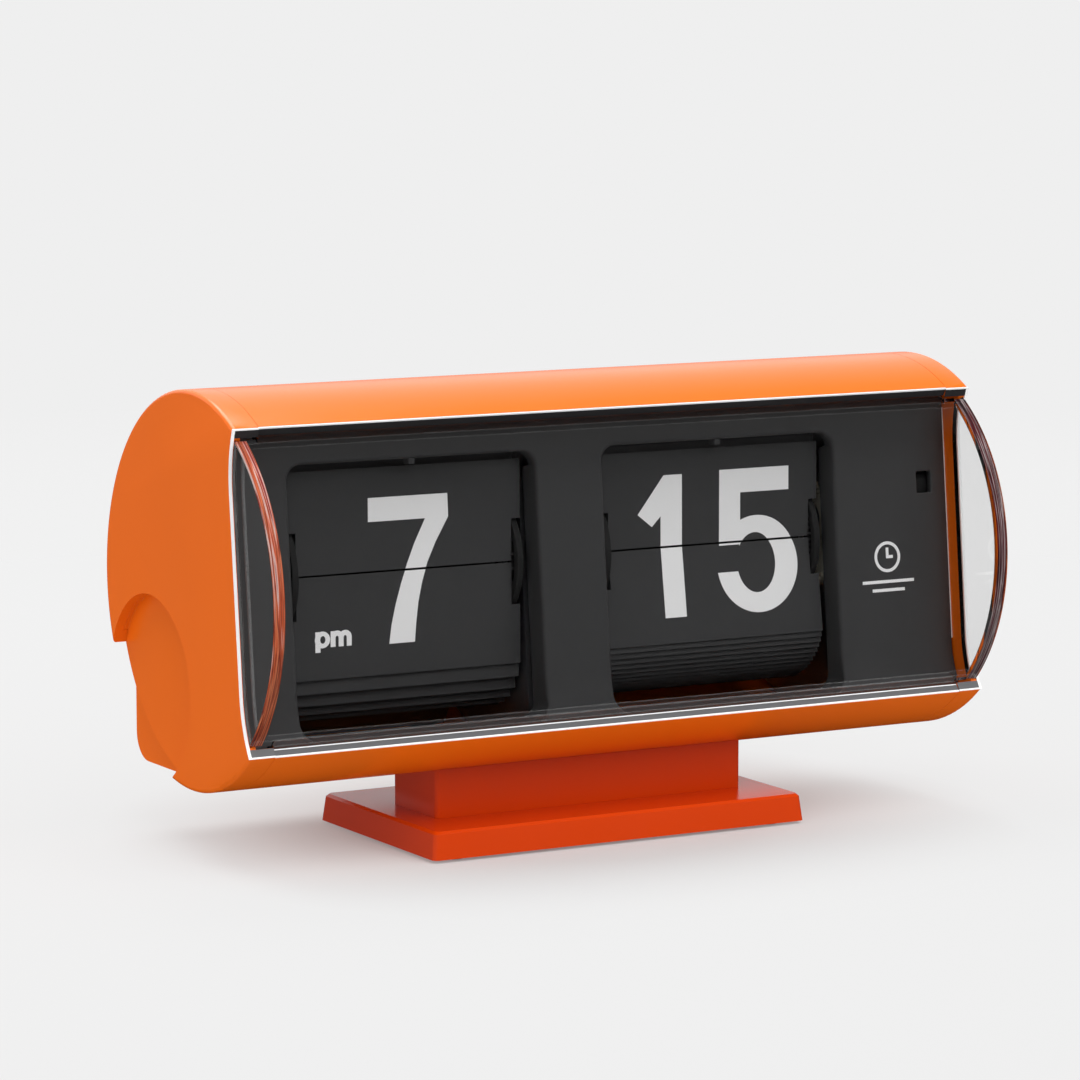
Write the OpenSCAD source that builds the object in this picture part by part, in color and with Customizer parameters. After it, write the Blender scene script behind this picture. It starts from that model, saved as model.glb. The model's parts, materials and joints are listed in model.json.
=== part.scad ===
// Flip number clock: a round drum case on a pedestal, with an hour drum and a minute drum of hinged leaves.
// X runs along the drum, -Y is the front, Z is up. The origin is on the table, under the clock's middle.

/* [Case] */
// Overall width of the clock, over both end caps
case_w = 213; // [212:0.5:214]
// Outer radius of the drum case
case_r = 49.5; // [49.5:0.1:50]
// Height of the drum's axis above the table
axis_z = 68; // [67:0.5:72]
// Wall thickness of the case and caps
wall = 2.5; // [2.2:0.1:2.6]
// Width of each end cap's skirt
cap_skirt = 7; // [6.5:0.1:7.5]
// Radius of the round finger recess in each end
recess_r = 24; // [22:0.5:25]
// Depth of the finger recess
recess_depth = 3.7; // [3.6:0.1:4]

/* [Display window] */
// Upward tilt of the display
face_tilt = 5.6; // [5:0.1:6]
// Half of the angle that the window takes out of the drum
window_half_angle = 53.7; // [53:0.1:54]
// Distance of the end caps' front edge from the drum's axis
cap_front = 25.9; // [25.5:0.1:26.5]
// Radius of the curves that lead that edge out to the lips
lip_curve_r = 34; // [32:1:36]

/* [Lens] */
// Outer radius of the clear cover
lens_r = 48.5; // [48:0.1:48.6]
// Distance of the cover's centre behind the drum's axis
lens_back = 2.9; // [2.8:0.1:3.2]
// Wall thickness of the clear cover
lens_wall = 2; // [1.6:0.1:2]
// Width of the clear cover over its end walls
lens_w = 210; // [209:0.5:211]
// Thickness of the cover's flange against the lips and the caps
flange_t = 0.9; // [0.8:0.1:1]

/* [Dial] */
// Distance of the dial's front face from the drum's axis
dial_front = 20; // [19.8:0.1:20.2]
// Thickness of the dial
dial_t = 2; // [1.6:0.1:2]
// Width of each number window
number_window_w = 69; // [68.6:0.1:69.4]
// Top of the number windows, along the dial from the axis
number_window_top = 29.5; // [29.2:0.1:29.8]
// Bottom of the number windows, along the dial from the axis
number_window_bottom = -36.8; // [-36.8:0.1:-36]

/* [Leaf drums] */
// Centre of the hour drum along X
hour_x = -53.7; // [-54:0.1:-53.5]
// Centre of the minute drum along X
minute_x = 34.6; // [34.4:0.1:34.8]
// Number of hour leaves
hour_leaves = 24; // [24]
// Number of minute leaves
minute_leaves = 60; // [60]
// Length of a leaf from its pivot to its free edge
leaf_l = 23.9; // [23.6:0.1:24]
// Width of a leaf
leaf_w = 65.2; // [64.8:0.1:65.4]
// Thickness of a leaf
leaf_t = 0.2; // [0.16:0.01:0.2]

/* [Base] */
// Width of the base plate at its foot
base_w = 108.4; // [100:0.5:120]
// Depth of the base plate
base_d = 62.6; // [56:0.5:66]
// Height of the base plate's top above the table
base_h = 7.8; // [7:0.1:9]
// Width of the pedestal
pedestal_w = 89.6; // [80:0.5:94]
// Depth of the pedestal
pedestal_d = 23.2; // [20:0.2:26]

/* [Battery bay] */
// Radius of the cell that the bay takes
cell_r = 17.1; // [17.1]
// Length of the cell that the bay takes
cell_l = 61.5; // [61.5]
// Left end of the bay's housing
bay_x0 = -98.4; // [-98.4:0.1:-98]
// Right end of the bay's housing
bay_x1 = -24; // [-24:0.5:-23]

/* [Hidden] */
$fn = 96;
eps = 0.01;
big = 400;

// Gap between fixed pieces that fit into each other
fit_gap = 0.1;

// The drum's axis lies in front of the base's centre, so that the origin is under the middle of the clock
axis_y = -(case_r - (lens_r - lens_back * cos(face_tilt))) / 2;

// Ends of the case, caps and bulkheads along X
end_x = case_w / 2;
cap_inner_x = end_x - wall;
case_end_x = end_x - cap_skirt - fit_gap;
recess_floor_x = end_x - recess_depth;
bulkhead_t = 2;
bulkhead_back_x = recess_floor_x - bulkhead_t;
cap_rim_r = 1;
recess_y = 23.5;
recess_z = -27.5;
recess_liner_t = 1.5;
bulkhead_front = 17.2;

// Front opening
lip_straight = 24.5;
lens_end = 39.3;

// Outer radius, ends along X and inner radius of the cover's flange
flange_r = case_r - 0.2;
flange_x = end_x - 0.2;
flange_in_r = 46;

// Dial outline: a shallow curve at the top and a deeper scoop at the bottom
dial_w = 2 * (cap_inner_x - 4 * fit_gap);
scoop_start = -26.5;
scoop_end = -38.2;
scoop_r = 22.4;
brow_start = 34;
brow_end = 38.8;
brow_r = 8.4;
collar_t = 1.2;
collar_back = 13;
collar_top_back = 16.4;
window_corner_r = 4;
window_mid = (number_window_top + number_window_bottom) / 2;
window_h = number_window_top - number_window_bottom;
indicator_x = 97;
indicator_t = 15.1;
indicator_w = 4.4;
indicator_h = 5.6;

// Printed mark: [height, width] of each bar under the clock sign
mark_x = 84.5;
mark_lift = 0.02;
mark_t = 0.1;
mark_line = 0.8;
mark_ring_r = 4;
mark_ring_h = -3.6;
mark_bars = [[-10, 16], [-12.2, 10]];

// Leaf drums: wheel axis relative to the drum axis, pivot circle, wheel
wheel_y = 1.2;
wheel_z = 3.05;
pivot_r = 14;
wheel_r = 16.5;
wheel_t = 1.8;
wheel_gap = 0.4;
wheel_hole_at = 8.6;
wheel_hole_r = 2.6;
notch_half_w = 30.1;
notch_h = 9;
leaf_half_w = leaf_w / 2;
tab_half = 0.3;
tab_l = 1;
pin_r = 0.35;
groove_half = 0.8;
groove_depth = 0.9;
wheel_in = notch_half_w + wheel_gap;
axle_r = 2;
core_r = 5;
run = 0.04;
hour_first = 9;
minute_first = 7.5;
hour_tail = 1.6;
minute_tail = 0.5;
hour_lean = 0.3;
minute_lean = 8.4;
flap_stand = 0.5;

// Leaves fan out behind the flap, hang down past the first angle and straight down past the second;
// over the last stretch before the front they come to lean forward
fan_rate = 0.55;
hang_angle = 213;
fold_angle = 234;
front_angle = 361.5;
lean_span = 60;
finger_w = 1.6;
finger_tip = 28.1;

// Chassis plates: left faces along X, and thickness
plate_t = 1.5;
plate_left_x = -93.5;
plate_a_x = -20.3;
plate_b_x = -0.5;
plate_right_x = 74;
plate_r = 45.5;
plate_front = 12.5;
rod_r = 2;
rod_places = [[-2, 42.5], [-8, -40], [39, 17.5]];
rod_screw_r = 3.6;
rod_screw_h = 1;

// Gears: [teeth, module]; the train's centres are relative to the drum axis
pressure_angle = 25;
fine_module = 0.5;
transfer_module = 0.6;
gear_t = 2;
drive_x = 70.7;

// Share of the pitch that a tooth fills, and tooth height above and below the pitch circle, in modules
tooth_fill = 0.92;
addendum = 0.85;
dedendum = 1.15;
transfer_x = -6;
hour_gear_x = -16;
minute_gear_n = 60;
drive_idler_n = 36;
drive_pinion_n = 12;
set_idler_n = 30;
set_gear_n = 20;
minute_pinion_n = 12;
transfer_gear_n = 72;
transfer_pinion_n = 14;
hour_gear_n = 56;
drive_idler_dir = 60;
drive_pinion_dir = -30;
set_dir = -56;
transfer_dir = 0;
post_r = 1.5;
arbor_r = 1.5;

function step(from, dir, dist) = [from[0] + dist * cos(dir), from[1] + dist * sin(dir)];
function centre_distance(a, b, m) = (a + b) * m / 2;

// Phase of a gear that meshes with one of n1 teeth at phase p1, in direction dir
function mesh_phase(n1, p1, dir, n2) = dir + 180 - 180 / n2 + (dir - p1) * n1 / n2;

wheel_at = [wheel_y, wheel_z];
drive_idler_at = step(wheel_at, drive_idler_dir, centre_distance(minute_gear_n, drive_idler_n, fine_module));
drive_pinion_at = step(drive_idler_at, drive_pinion_dir,
    centre_distance(drive_idler_n, drive_pinion_n, fine_module));
set_idler_at = step(wheel_at, set_dir, centre_distance(minute_gear_n, set_idler_n, fine_module));
set_gear_at = step(set_idler_at, set_dir, centre_distance(set_idler_n, set_gear_n, fine_module));
transfer_at = step(wheel_at, transfer_dir, centre_distance(minute_pinion_n, transfer_gear_n, fine_module));
drive_idler_phase = mesh_phase(minute_gear_n, 0, drive_idler_dir, drive_idler_n);
drive_pinion_phase = mesh_phase(drive_idler_n, drive_idler_phase, drive_pinion_dir, drive_pinion_n);
set_idler_phase = mesh_phase(minute_gear_n, 0, set_dir, set_idler_n);
set_gear_phase = mesh_phase(set_idler_n, set_idler_phase, set_dir, set_gear_n);
transfer_phase = mesh_phase(minute_pinion_n, 0, transfer_dir, transfer_gear_n);
hour_gear_phase = mesh_phase(transfer_pinion_n, 0, transfer_dir + 180, hour_gear_n);

// Movement, running indicator and time-setting knob
movement_x0 = 76;
movement_x1 = 93.5;
movement_y0 = -13.5;
movement_y1 = 32;
movement_z0 = 6;
movement_z1 = 30;
movement_corner_r = 3;
indicator_at = [-10, 16];
indicator_r = 6;
indicator_shaft_r = 1;
indicator_x0 = movement_x1 + 0.8;
shaft_bore = 4;
knob_r = 15.8;
knob_x0 = recess_floor_x + 0.5;
knob_x1 = end_x - 0.2;
knob_grips = 36;
knob_groove_r = 0.8;
knob_groove_at = knob_r + 0.35;
knob_bore = 2;
knob_shaft_r = 2;

// Battery bay
bay_corner_r = 7;
cell_y = case_r - wall - 0.7 - cell_r;
cell_z = -cell_y;
tray_gap = 0.3;
tray_t = 1;
tray_x0 = -95.6;
tray_end_t = 1.2;
tray_x1 = tray_x0 + cell_l + 2 * tray_end_t + 4;
contact_t = 0.5;
contact_l = 22;
contact_w = 10;
contact_boss_h = 1.6;
contact_boss_r = 3.5;
door_x0 = -93;
door_x1 = -29.4;
door_y0 = 21;
door_z1 = -13;
door_gap = 0.25;
door_mid_x = (door_x0 + door_x1) / 2;
door_grips = 5;
door_grip_top = 4;
door_grip_pitch = 2.2;
door_grip_l = 24;
door_grip_w = 0.9;

// Base and pedestal
base_lift = 0.8;
base_draft = 0.7;
base_chamfer = 0.7;
base_corner_r = 1.6;
base_wall = 2.2;
pedestal_y = axis_y - 1.2;
pedestal_wall = 2.6;
pedestal_corner_r = 1.2;

// The saddle's upper corners lie this far below the drum's axis
saddle_z = 39.6;
foot_r = 4.5;
foot_h = 1.6;
foot_gap = 0.05;
foot_dx = 46;
foot_dy = 24;
screw_r = 1.5;
screw_head_r = 3;
screw_head_h = 1.9;
screw_seat = 3;
screw_slot_l = 3.2;
screw_slot_w = 0.7;
screw_slot_depth = 0.9;
screw_gap = 0.1;
screw_dx = 30;
boss_r = 4.2;
boss_wall = 1.4;

// ---- Helpers ----

// Extrudes a (Y, Z) outline, drawn about the drum's axis, from x0 to x1
module along_x(x0, x1) {
    translate([x0, axis_y, axis_z])
        rotate([90, 0, 90])
            linear_extrude(x1 - x0)
                children();
}

// Turns an outline drawn as (distance behind the axis, height) by the display's tilt
module tilted() {
    rotate(-face_tilt)
        children();
}

// Extrudes an outline drawn on the dial, as (X, height), from depth d0 to d1 in front of the axis
module on_face(d0, d1) {
    translate([0, axis_y, axis_z])
        rotate([90 - face_tilt, 0, 0])
            translate([0, 0, d0])
                linear_extrude(d1 - d0)
                    children();
}

// Mirrors a left-hand part to the right
module right_hand() {
    mirror([1, 0, 0])
        children();
}

module ring2d(r_out, r_in) {
    difference() {
        circle(r_out);
        circle(r_in);
    }
}

// Rectangle about the origin with round corners
module round_rect(w, h, r) {
    square([w - 2 * r, h], center = true);
    square([w, h - 2 * r], center = true);
    for (sx = [-1, 1], sy = [-1, 1])
        translate([sx * (w / 2 - r), sy * (h / 2 - r)])
            circle(r, $fn = 48);
}

// Rod along X, at a place about the drum's axis
module rod_x(at, r, x0, x1) {
    along_x(x0, x1)
        translate(at)
            circle(r);
}

// Front opening of the end caps: straight in the middle and curving out to the lips
module cap_opening(inset = 0) {
    tilted() {
        for (side = [-1, 1])
            translate([-cap_front - lip_curve_r, side * lip_straight])
                circle(lip_curve_r - inset);
        translate([-cap_front - 2 * lip_curve_r, -lip_straight])
            square([2 * lip_curve_r - inset, 2 * lip_straight]);
    }
}

// Everything further forward than depth d
module in_front_of(d) {
    tilted()
        translate([-d - big, -big / 2])
            square([big, big]);
}

// The wedge that the window takes out of the drum, with its sides moved in by the inset
module window_wedge(inset = 0) {
    reach = 2 * case_r;
    tilted()
        translate([-inset / sin(window_half_angle), 0])
            polygon([[0, 0], [-reach * cos(window_half_angle), reach * sin(window_half_angle)],
                [-reach * cos(window_half_angle), -reach * sin(window_half_angle)]]);
}

// Square lower-back quarter of the case, which makes room for the cell
module bay_corner(r, corner) {
    translate([0, -r + corner])
        square([r, r - corner]);
    translate([0, -r])
        square([r - corner, r]);
    translate([r - corner, -r + corner])
        circle(corner, $fn = 48);
}

module recess_circle(r) {
    translate([recess_y, recess_z])
        circle(r);
}

// ---- Case ----

module drum_case() {
    color("#e8641e")
    difference() {
        union() {
            along_x(-case_end_x, case_end_x)
                circle(case_r);
            along_x(bay_x0, bay_x1)
                bay_corner(case_r, bay_corner_r);
        }
        along_x(-case_w, case_w)
            circle(case_r - wall);
        along_x(bay_x0 + wall, bay_x1 - wall)
            bay_corner(case_r - wall, bay_corner_r - wall);
        along_x(-case_w, case_w)
            window_wedge();
        along_x(door_x0 - door_gap, door_x1 + door_gap)
            translate([door_y0 - door_gap, -2 * case_r])
                square([2 * case_r, 2 * case_r + door_z1 + door_gap]);
        for (x = [-screw_dx, screw_dx])
            translate([x, pedestal_y, 0])
                cylinder(r = screw_r + screw_gap, h = axis_z);
    }
}

// Cup-shaped end cap, drawn for the left end
module end_cap() {
    color("#e8641e")
    difference() {
        translate([-end_x, axis_y, axis_z])
            rotate([0, 90, 0])
                rotate_extrude($fn = 128) {
                    square([case_r - cap_rim_r, wall]);
                    translate([case_r - wall, cap_rim_r])
                        square([wall, cap_skirt - cap_rim_r]);
                    translate([case_r - cap_rim_r, cap_rim_r])
                        circle(cap_rim_r, $fn = 48);
                }
        along_x(-end_x - 1, -end_x + cap_skirt + 1) {
            cap_opening();
            recess_circle(recess_r);
        }
    }
}

module left_end_cap() {
    end_cap();
}

module right_end_cap() {
    right_hand()
        end_cap();
}

// Bulkhead that closes the left end behind the cap: its outer face is the recess's floor
module bulkhead() {
    difference() {
        union() {
            along_x(-recess_floor_x, -bulkhead_back_x)
                circle(case_r - wall - fit_gap);
            along_x(-recess_floor_x, -case_end_x - fit_gap)
                intersection() {
                    circle(case_r);
                    recess_circle(recess_r - fit_gap);
                }
            along_x(-cap_inner_x + fit_gap / 2, -recess_floor_x + eps)
                intersection() {
                    circle(case_r - wall - fit_gap);
                    translate([recess_y, recess_z])
                        ring2d(recess_r + recess_liner_t, recess_r);
                }
        }
        along_x(-case_w, 0)
            in_front_of(bulkhead_front);
        for (at = rod_places)
            rod_x(at, rod_r + run, -case_w, 0);
    }
}

module left_bulkhead() {
    color("#e8641e")
        bulkhead();
}

module right_bulkhead() {
    color("#e8641e")
    difference() {
        right_hand()
            bulkhead();
        rod_x(set_gear_at, knob_shaft_r + run, 0, case_w);
    }
}

// Clear curved cover with closed ends and a thin flange against the lips and the caps
module lens() {
    color("#dfe8ee80") {
        along_x(-cap_inner_x + 2 * fit_gap, cap_inner_x - 2 * fit_gap)
            lens_outline()
                ring2d(lens_r, lens_r - lens_wall);
        along_x(-case_end_x, case_end_x)
            intersection() {
                ring2d(flange_r, flange_in_r);
                difference() {
                    window_wedge(fit_gap);
                    window_wedge(fit_gap + flange_t);
                }
            }
        for (side = [-1, 1])
            scale([side, 1, 1]) {
                along_x(lens_w / 2 - lens_wall, lens_w / 2)
                    intersection() {
                        lens_outline()
                            circle(lens_r);
                        cap_opening(fit_gap);
                    }
                along_x(case_end_x - eps, flange_x)
                    intersection() {
                        ring2d(flange_r, flange_in_r);
                        cap_flange();
                    }
                along_x(lens_w / 2 - eps, flange_x)
                    intersection() {
                        circle(flange_r);
                        cap_flange();
                    }
            }
    }
}

// Strip along the front edge of an end cap
module cap_flange() {
    difference() {
        cap_opening(fit_gap);
        cap_opening(fit_gap + flange_t);
    }
}

// Keeps the part of an outline about the cover's centre that shows in the window
module lens_outline() {
    tilted()
        intersection() {
            translate([lens_back, 0])
                children();
            translate([-big, -lens_end])
                square([big - dial_front, 2 * lens_end]);
        }
}

// ---- Dial ----

// Points of an arc about c from angle a0 to a1
function arc(c, r, a0, a1, steps) = [for (i = [0:steps])
    [c[0] + r * cos(a0 + (a1 - a0) * i / steps), c[1] + r * sin(a0 + (a1 - a0) * i / steps)]];

module dial_section() {
    scoop_angle = asin((scoop_start - scoop_end) / scoop_r);
    brow_angle = asin((brow_end - brow_start) / brow_r);
    scoop_centre = [-dial_front - scoop_r, scoop_start];
    brow_centre = [-dial_front - brow_r, brow_start];
    tilted()
        polygon(concat(
            arc(scoop_centre, scoop_r, -scoop_angle, 0, 10),
            arc(brow_centre, brow_r, 0, brow_angle, 6),
            arc(brow_centre, brow_r + dial_t, brow_angle, 0, 6),
            arc(scoop_centre, scoop_r + dial_t, 0, -scoop_angle, 10)));
}

module number_window(margin) {
    for (x = [hour_x, minute_x])
        translate([x, window_mid])
            round_rect(number_window_w + 2 * margin, window_h + 2 * margin, window_corner_r + margin);
}

module dial() {
    color("#3a3a3b")
    difference() {
        union() {
            along_x(-dial_w / 2, dial_w / 2)
                dial_section();
            on_face(collar_back, dial_front - dial_t / 4)
                intersection() {
                    number_window(collar_t);
                    translate([-case_w / 2, scoop_end + 2 * fit_gap])
                        square([case_w, case_r - scoop_end]);
                }
        }
        on_face(0, 2 * dial_front)
            number_window(0);
        on_face(0, collar_top_back)
            translate([-case_w / 2, number_window_top - window_corner_r])
                square([case_w, case_r]);
        on_face(0, 2 * dial_front)
            translate([indicator_x, indicator_t])
                square([indicator_w, indicator_h], center = true);
    }
}

// Plain printed mark: a small clock sign over two bars
module dial_mark() {
    color("#c4c4c6")
    on_face(dial_front + mark_lift, dial_front + mark_lift + mark_t) {
        translate([mark_x, mark_ring_h])
            ring2d(mark_ring_r, mark_ring_r - mark_line);
        for (hand = [[0, 2.8], [90, 2.1]])
            translate([mark_x, mark_ring_h])
                rotate(-hand[0])
                    translate([-mark_line / 2, -mark_line / 2])
                        square([mark_line, hand[1]]);
        for (bar = mark_bars)
            translate([mark_x, bar[0]])
                square([bar[1], mark_line], center = true);
    }
}

// Small finger above a number window that holds the top leaf
module finger(x) {
    on_face(collar_top_back + fit_gap, dial_front - 6 * fit_gap)
        translate([x - finger_w / 2, finger_tip])
            square([finger_w, number_window_top - finger_tip]);
}

module hour_finger() {
    color("#2c2c2d")
        finger(hour_x);
}

module minute_finger() {
    color("#2c2c2d")
        finger(minute_x);
}

// ---- Base ----

// Block with round upright edges; its foot is wider than its top by the draft on each side
module base_plate() {
    top_inset = base_draft + base_chamfer;
    inner_inset = base_wall + 0.5;
    color("#e8641e")
    difference() {
        hull() {
            translate([0, 0, base_lift])
                linear_extrude(eps)
                    round_rect(base_w, base_d, base_corner_r);
            translate([0, 0, base_h - base_chamfer])
                linear_extrude(eps)
                    round_rect(base_w - 2 * base_draft, base_d - 2 * base_draft, base_corner_r);
            translate([0, 0, base_h - eps])
                linear_extrude(eps)
                    round_rect(base_w - 2 * top_inset, base_d - 2 * top_inset, base_corner_r);
        }
        difference() {
            translate([0, 0, -1])
                linear_extrude(base_h - base_wall + 1)
                    round_rect(base_w - 2 * inner_inset, base_d - 2 * inner_inset, 1);
            for (x = [-foot_dx, foot_dx], y = [-foot_dy, foot_dy])
                translate([x, y, base_lift])
                    cylinder(r = foot_r + boss_wall, h = base_h);
            for (x = [-screw_dx, screw_dx])
                translate([x, pedestal_y, base_lift])
                    cylinder(r = screw_head_r + 2 * screw_gap + boss_wall, h = base_h);
        }
        for (x = [-foot_dx, foot_dx], y = [-foot_dy, foot_dy])
            translate([x, y, -1])
                cylinder(r = foot_r + foot_gap, h = foot_h + foot_gap + 1);
        for (x = [-screw_dx, screw_dx])
            translate([x, pedestal_y, -1]) {
                cylinder(r = screw_r + screw_gap, h = base_h + 2);
                cylinder(r = screw_head_r + 2 * screw_gap, h = screw_seat + 1);
            }
    }
}

module base_feet() {
    color("#26262a")
    for (x = [-foot_dx, foot_dx], y = [-foot_dy, foot_dy])
        translate([x, y, 0])
            cylinder(r = foot_r, h = foot_h);
}

// Hollow pedestal whose top is a saddle for the drum
module pedestal() {
    color("#e8641e")
    difference() {
        translate([0, pedestal_y, base_h])
            linear_extrude(axis_z - base_h - saddle_z)
                round_rect(pedestal_w, pedestal_d, pedestal_corner_r);
        difference() {
            translate([0, pedestal_y, base_h + pedestal_wall])
                linear_extrude(axis_z)
                    round_rect(pedestal_w - 2 * pedestal_wall, pedestal_d - 2 * pedestal_wall, 1);
            for (x = [-screw_dx, screw_dx])
                translate([x, pedestal_y, base_h])
                    cylinder(r = boss_r, h = axis_z);
        }
        along_x(-case_w, case_w)
            circle(case_r);
        along_x(bay_x0, bay_x1)
            bay_corner(case_r, bay_corner_r);
        for (x = [-screw_dx, screw_dx])
            translate([x, pedestal_y, 0])
                cylinder(r = screw_r + screw_gap, h = axis_z);
    }
}

// Two long screws that clamp base, pedestal and case together
module base_screws() {
    color("#b9bcc0")
    for (x = [-screw_dx, screw_dx])
        translate([x, pedestal_y, screw_seat - screw_head_h])
            difference() {
                union() {
                    cylinder(r = screw_head_r, h = screw_head_h);
                    cylinder(r = screw_r, h = axis_z - case_r + wall - screw_seat + screw_head_h);
                }
                for (turn = [0, 90])
                    rotate(turn)
                        cube([screw_slot_l, screw_slot_w, screw_slot_depth * 2], center = true);
            }
}

// Screws that clamp the tie rods to the bulkheads
module case_screws() {
    color("#b9bcc0")
    for (side = [-1, 1], at = rod_places)
        scale([side, 1, 1])
            rod_x(at, rod_screw_r, recess_floor_x + eps, recess_floor_x + rod_screw_h);
}

// ---- Chassis ----

module plate(x0, r = plate_r) {
    difference() {
        along_x(x0, x0 + plate_t)
            difference() {
                circle(r);
                in_front_of(plate_front);
                for (at = rod_places)
                    translate(at)
                        circle(rod_r + run);
            }
        rod_x(wheel_at, axle_r + run, -case_w, case_w);
    }
}

// Room in a plate for the battery tray
module tray_room(x0) {
    rod_x([cell_y, cell_z], cell_r + tray_gap + tray_t + 5 * fit_gap, x0 - 1, x0 + plate_t + 1);
}

module left_plate() {
    color("#8f9499")
    difference() {
        plate(plate_left_x);
        tray_room(plate_left_x);
    }
}

module hour_side_plate() {
    color("#8f9499")
    difference() {
        plate(plate_a_x);
        rod_x(transfer_at, arbor_r + run, -case_w, case_w);
    }
}

module minute_side_plate() {
    color("#8f9499")
    difference() {
        plate(plate_b_x);
        rod_x(transfer_at, arbor_r + run, -case_w, case_w);
    }
}

// Right plate, with the posts that the two idlers turn on
module drive_plate() {
    color("#8f9499")
    difference() {
        union() {
            plate(plate_right_x);
            for (at = [drive_idler_at, set_idler_at])
                rod_x(at, post_r, drive_x - 0.6, plate_right_x + eps);
        }
        rod_x(drive_pinion_at, post_r + run, -case_w, case_w);
        rod_x(set_gear_at, knob_shaft_r + run, -case_w, case_w);
    }
}

module tie_rods() {
    color("#b9bcc0")
    for (at = rod_places)
        rod_x(at, rod_r, -recess_floor_x, recess_floor_x);
}

// ---- Gears ----

function involute(a) = tan(a) * 180 / PI - a;

// Half of a tooth's angle at radius r
function tooth_half(n, m, r) = let (base = n * m / 2 * cos(pressure_angle))
    90 / n * tooth_fill + involute(pressure_angle) - (r > base ? involute(acos(base / r)) : 0);

function on_circle(r, a) = [r * cos(a), r * sin(a)];

// Spur gear outline with n teeth, one of them centred at angle phase
module gear2d(n, m, phase) {
    pitch = n * m / 2;
    root = pitch - dedendum * m;
    tip = pitch + addendum * m;
    start = max(root + 0.1 * m, pitch * cos(pressure_angle));
    flank = [root, start, pitch, tip];
    last = len(flank) - 1;
    polygon([for (i = [0:n - 1]) let (mid = phase + 360 * i / n) each concat(
        [for (r = flank) on_circle(r, mid - tooth_half(n, m, r))],
        [for (k = [last:-1:0]) on_circle(flank[k], mid + tooth_half(n, m, flank[k]))])]);
}

// Gear at a place about the drum's axis, with a bore and round lightening holes
module gear_x(at, n, m, phase, x0, bore, holes = 0) {
    pitch = n * m / 2;
    hole_r = (pitch - 2 * m - bore) * 0.28;
    difference() {
        along_x(x0, x0 + gear_t)
            translate(at)
                gear2d(n, m, phase);
        along_x(x0 - 1, x0 + gear_t + 1)
            translate(at) {
                circle(bore);
                if (holes > 0)
                    for (i = [0:holes - 1])
                        rotate(360 * i / holes)
                            translate([(pitch - 2 * m + bore) / 2 + 0.4, 0])
                                circle(hole_r, $fn = 32);
            }
    }
}

module minute_gear() {
    color("#e9e3d0")
        gear_x(wheel_at, minute_gear_n, fine_module, 0, drive_x, axle_r, 5);
}

module drive_idler() {
    color("#e9e3d0")
        gear_x(drive_idler_at, drive_idler_n, fine_module, drive_idler_phase, drive_x, post_r + run, 4);
}

module drive_pinion() {
    color("#c9a14a") {
        gear_x(drive_pinion_at, drive_pinion_n, fine_module, drive_pinion_phase, drive_x, post_r - eps);
        rod_x(drive_pinion_at, post_r, drive_x, movement_x0 + shaft_bore - 1);
    }
}

module set_idler() {
    color("#e9e3d0")
        gear_x(set_idler_at, set_idler_n, fine_module, set_idler_phase, drive_x, post_r + run, 4);
}

module set_gear() {
    color("#e9e3d0")
        gear_x(set_gear_at, set_gear_n, fine_module, set_gear_phase, drive_x, knob_shaft_r);
}

module minute_pinion() {
    color("#c9a14a")
        gear_x(wheel_at, minute_pinion_n, fine_module, 0, transfer_x, axle_r);
}

module transfer_gear() {
    color("#e9e3d0")
        gear_x(transfer_at, transfer_gear_n, fine_module, transfer_phase, transfer_x, arbor_r, 6);
}

module transfer_pinion() {
    color("#c9a14a")
        gear_x(transfer_at, transfer_pinion_n, transfer_module, 0, hour_gear_x, arbor_r);
}

module hour_gear() {
    color("#e9e3d0")
        gear_x(wheel_at, hour_gear_n, transfer_module, hour_gear_phase, hour_gear_x, axle_r, 5);
}

module transfer_arbor() {
    color("#b9bcc0")
        rod_x(transfer_at, arbor_r, plate_a_x - 0.3, plate_b_x + plate_t + 0.3);
}

// ---- Leaf drums ----

// Wheel whose inner face lies wheel_in from the drum's centre; a groove takes the leaves' pins
module leaf_wheel(x, side) {
    x_in = x + side * wheel_in;
    x_out = x_in + side * wheel_t;
    difference() {
        rod_x(wheel_at, wheel_r, min(x_in, x_out), max(x_in, x_out));
        along_x(min(x_in - eps, x_in + side * groove_depth), max(x_in + eps, x_in + side * groove_depth))
            translate(wheel_at)
                ring2d(pivot_r + groove_half, pivot_r - groove_half);
        for (turn = [0:60:300])
            rod_x(step(wheel_at, turn, wheel_hole_at), wheel_hole_r, x - case_w, x + case_w);
        rod_x(wheel_at, axle_r, x - case_w, x + case_w);
    }
}

module leaf_core(x) {
    along_x(x - wheel_in, x + wheel_in)
        translate(wheel_at)
            ring2d(core_r, axle_r);
}

// Direction in which a leaf points, from its pivot at angle a; 0 is forward and 90 is up
function leaf_dir(a, first, lean) = a < hang_angle
    ? 90 + flap_stand + (a - first) * fan_rate
    : 270 + max(0, (fold_angle - a) / 4) + max(0, lean * (1 - (front_angle - a) / lean_span));

// Outline of a leaf's right half, from its tail up: a pivot tab, a notch beside the wheel, a free edge
function leaf_side(tail, tabs) = [[notch_half_w, -tail], each tabs ? [[notch_half_w, -tab_half],
    [notch_half_w + tab_l, -tab_half], [notch_half_w + tab_l, tab_half], [notch_half_w, tab_half]] : [],
    [notch_half_w, notch_h], [leaf_half_w, notch_h], [leaf_half_w, leaf_l]];

// Place of the pivot at angle a, about the drum's axis
function pivot_at(a) = step(wheel_at, 180 - a, pivot_r);

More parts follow.
